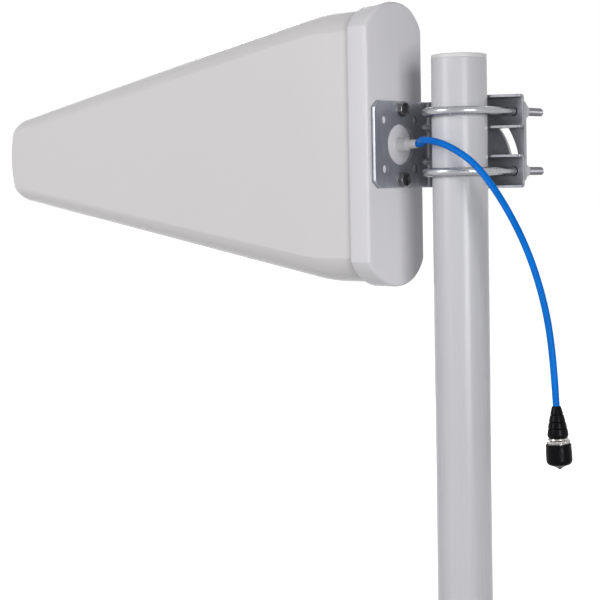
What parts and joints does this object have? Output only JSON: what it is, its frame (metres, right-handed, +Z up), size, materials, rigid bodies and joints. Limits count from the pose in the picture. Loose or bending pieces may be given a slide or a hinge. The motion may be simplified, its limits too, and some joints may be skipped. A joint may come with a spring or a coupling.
{
  "type": "log-periodic directional antenna",
  "caption": "Wideband log-periodic directional antenna: a tapered white radome on a tilt bracket, U-bolted to a mast, with a hanging coaxial lead.",
  "frame": {"origin": "centre of the mast's open foot", "axes": "+Z up along the mast, -X along the antenna's boresight, +Y towards the clamp's nuts"},
  "size_m": [0.5991, 0.0998, 0.643],
  "materials": {
    "mast_steel": "satin white powder coat",
    "mast_plastic": "satin",
    "zinc_sheet": "dark zinc plate",
    "zinc_rod": "zinc plate",
    "steel_fastener": "zinc plate",
    "radome_plastic": "gloss white, ultraviolet stable",
    "cap_plastic": "gloss white",
    "grommet_plastic": "gloss white",
    "seal_rubber": "matt",
    "array_aluminium": "satin",
    "inner_plastic": "matt natural",
    "brass": "machined",
    "cable_jacket": "satin blue jacket",
    "boot_rubber": "satin black",
    "connector_metal": "nickel plate",
    "white_insulator": "matt white",
    "cap_rubber": "gloss black"
  },
  "bodies": {
    "mast": {"mast_tube": "mast_steel", "mast_top_cap": "mast_plastic"},
    "clamp": {"lower_saddle": "zinc_sheet", "upper_saddle": "zinc_sheet", "lower_u_bolt": "zinc_rod", "upper_u_bolt": "zinc_rod", "flat_washers": "steel_fastener", "spring_washers": "steel_fastener", "hex_nuts": "steel_fastener"},
    "dust_cap": {"dust_cap": "cap_rubber"},
    "antenna": {"tilt_bracket": "zinc_sheet", "bracket_bolts": "steel_fastener", "bracket_washers": "steel_fastener", "radome_shell": "radome_plastic", "rear_cap": "cap_plastic", "cable_grommet": "grommet_plastic", "radome_seal": "seal_rubber", "threaded_inserts": "brass", "near_boom": "array_aluminium", "far_boom": "array_aluminium", "shorting_plate": "array_aluminium", "near_upper_elements": "array_aluminium", "near_lower_elements": "array_aluminium", "far_upper_elements": "array_aluminium", "far_lower_elements": "array_aluminium", "boom_spacers": "inner_plastic", "front_bulkhead": "inner_plastic", "rear_bulkhead": "inner_plastic", "feed_link": "brass", "feed_coax": "cable_jacket", "coax_pigtail": "cable_jacket", "connector_boot": "boot_rubber", "connector_body": "connector_metal", "connector_insulator": "white_insulator", "centre_contact": "brass"}
  },
  "joints": [
    {"name": "azimuth_turn", "type": "hinge", "parent": "mast", "child": "clamp", "pos_m": [0, 0, 0.5375], "axis": [0, 0, 1], "continuous": true},
    {"name": "elevation_tilt", "type": "hinge", "parent": "clamp", "child": "antenna", "pos_m": [-0.026, 0.03355, 0.516], "axis": [0, 1, 0], "range_deg": [-4, 5]},
    {"name": "dust_cap_pull", "type": "slide", "parent": "antenna", "child": "dust_cap", "axis": [0.0483, 0.0161, -0.9987], "range_m": [0, 0.025]}
  ]
}
